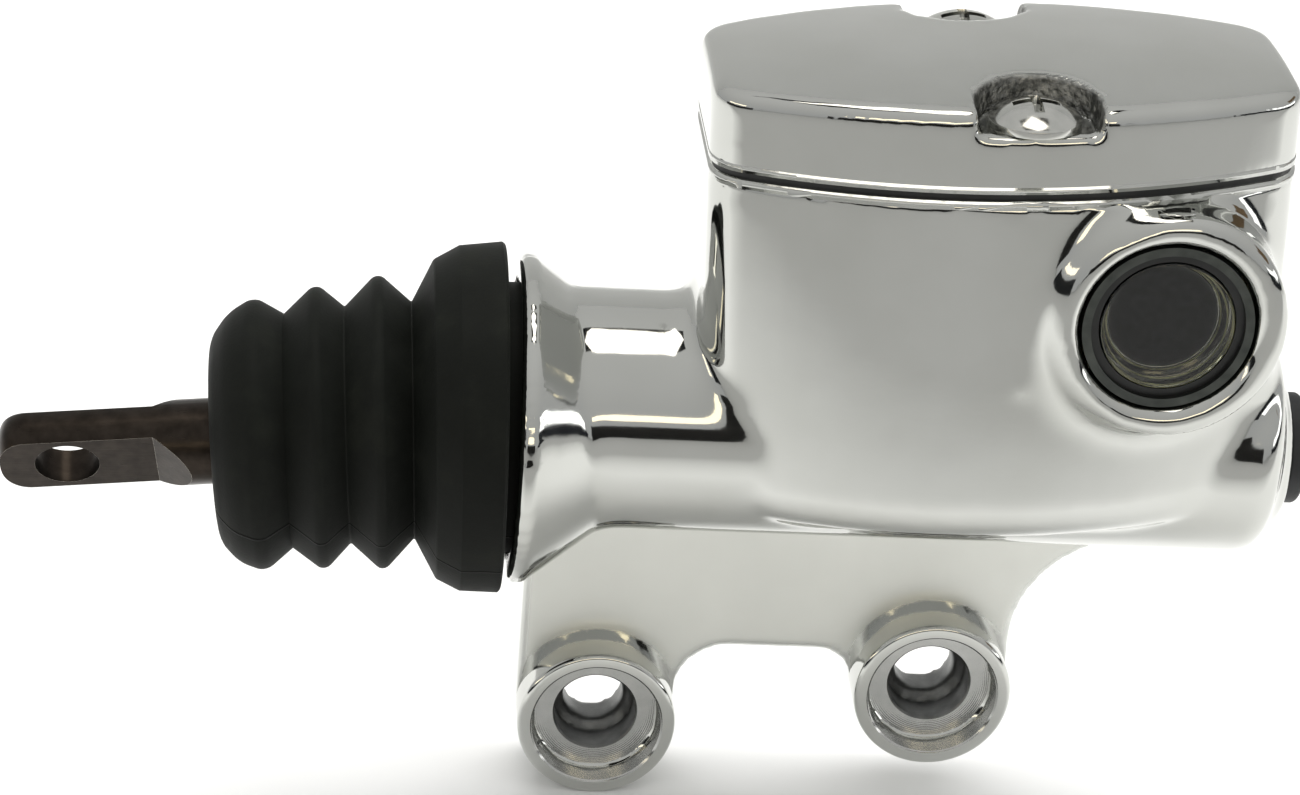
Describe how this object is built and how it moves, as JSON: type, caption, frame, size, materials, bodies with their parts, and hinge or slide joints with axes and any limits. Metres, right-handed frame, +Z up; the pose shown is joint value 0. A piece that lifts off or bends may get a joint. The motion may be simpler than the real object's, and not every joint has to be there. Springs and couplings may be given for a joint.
{
  "type": "brake master cylinder",
  "caption": "Rear brake master cylinder with cast-on fluid reservoir, sight glass, rubber boot and ball-ended push rod; bolts up through counterbored bosses.",
  "frame": {"origin": "centre of the left mounting hole on the rear mounting face", "axes": "+X along the cylinder bore from the push rod to the outlet, +Y rearwards through the mounting holes to the machine, +Z up"},
  "size_m": [0.1353, 0.0375, 0.0934],
  "materials": {
    "polished_casting": "bright polished and chromed aluminium casting",
    "chromed_screw": "chromed steel screw",
    "boot_rubber": "matte black moulded EPDM",
    "seal_rubber": "black moulded nitrile",
    "black_plastic": "black moulded polyethylene",
    "rod_steel": "dark phosphated steel with bright milled edges",
    "zinc_steel": "zinc plated steel",
    "spring_steel": "music wire",
    "anodised_piston": "clear anodised aluminium",
    "clear_lens": "clear moulded polycarbonate",
    "dark_disc": "dark grey moulded disc",
    "retainer_black": "dark phosphated steel ring"
  },
  "bodies": {
    "housing": {"housing": "polished_casting", "reservoir_cover": "polished_casting", "cover_screw_front": "chromed_screw", "cover_screw_rear": "chromed_screw", "diaphragm": "seal_rubber", "port_baffle": "zinc_steel", "sight_glass_lens": "clear_lens", "sight_glass_seal": "seal_rubber", "sight_glass_retainer": "retainer_black", "sight_glass_reflector": "dark_disc", "outlet_plug": "black_plastic", "boot": "boot_rubber", "return_spring": "spring_steel", "stop_washer": "zinc_steel", "circlip": "spring_steel"},
    "piston": {"piston": "anodised_piston", "primary_cup": "seal_rubber", "secondary_cup": "seal_rubber", "cup_backing_washer": "zinc_steel", "spring_seat": "zinc_steel"},
    "pushrod": {"pushrod": "rod_steel"}
  },
  "joints": [
    {"name": "piston_slide", "type": "slide", "parent": "housing", "child": "piston", "axis": [1, 0, 0], "range_m": [0, 0.0127], "stiffness_N_per_m": 1500, "springref_m": -0.01, "deforming": ["return_spring", "boot"]},
    {"name": "pushrod_swing", "type": "hinge", "parent": "piston", "child": "pushrod", "pos_m": [-0.0031, -0.0185, 0.0408], "axis": [0, 1, 0], "range_deg": [-1.5, 5.8]}
  ]
}
